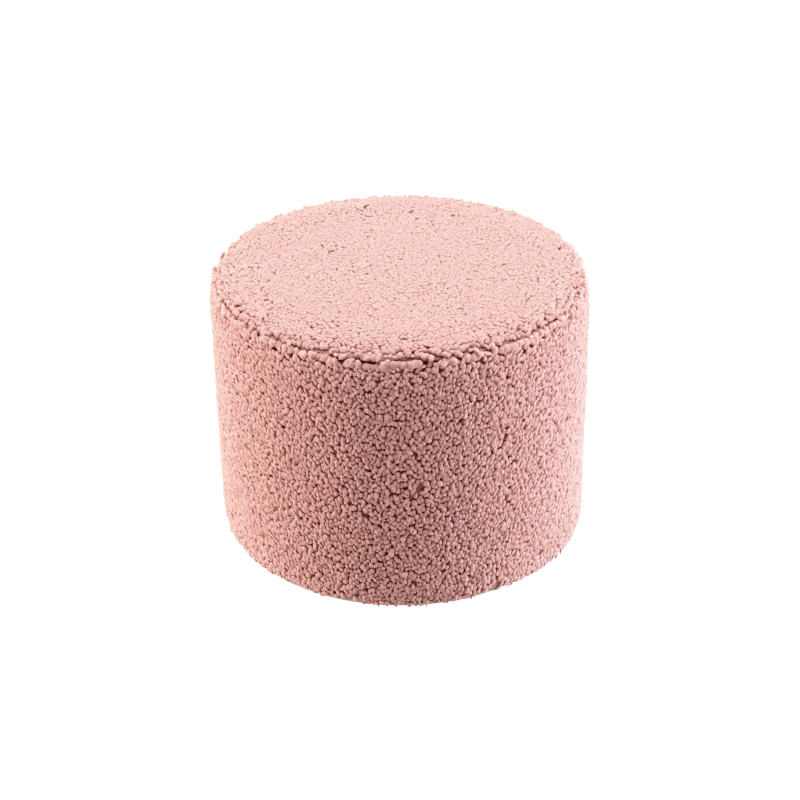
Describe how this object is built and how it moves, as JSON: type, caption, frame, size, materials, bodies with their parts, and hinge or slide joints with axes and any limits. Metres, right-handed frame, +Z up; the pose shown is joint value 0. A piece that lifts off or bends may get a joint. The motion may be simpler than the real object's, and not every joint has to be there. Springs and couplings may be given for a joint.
{
  "type": "plush pouf",
  "caption": "Round upholstered pouf in curly pile fleece, a filled drum with a softly crowned top, a sewn rim seam and a flat plain base, used as a low seat or footrest.",
  "frame": {"origin": "middle of the flat underside, on the surface that the pouf stands on", "axes": "+Z up along the pouf's round axis, -Y towards the viewer of the picture, +X to that viewer's right"},
  "size_m": [0.4, 0.3988, 0.3],
  "materials": {
    "pile_fleece": "matt curly pile",
    "base_cloth": "matt plain weave"
  },
  "bodies": {
    "root": {"base_panel": "base_cloth", "side_panel": "pile_fleece", "top_panel": "pile_fleece"}
  },
  "joints": []
}
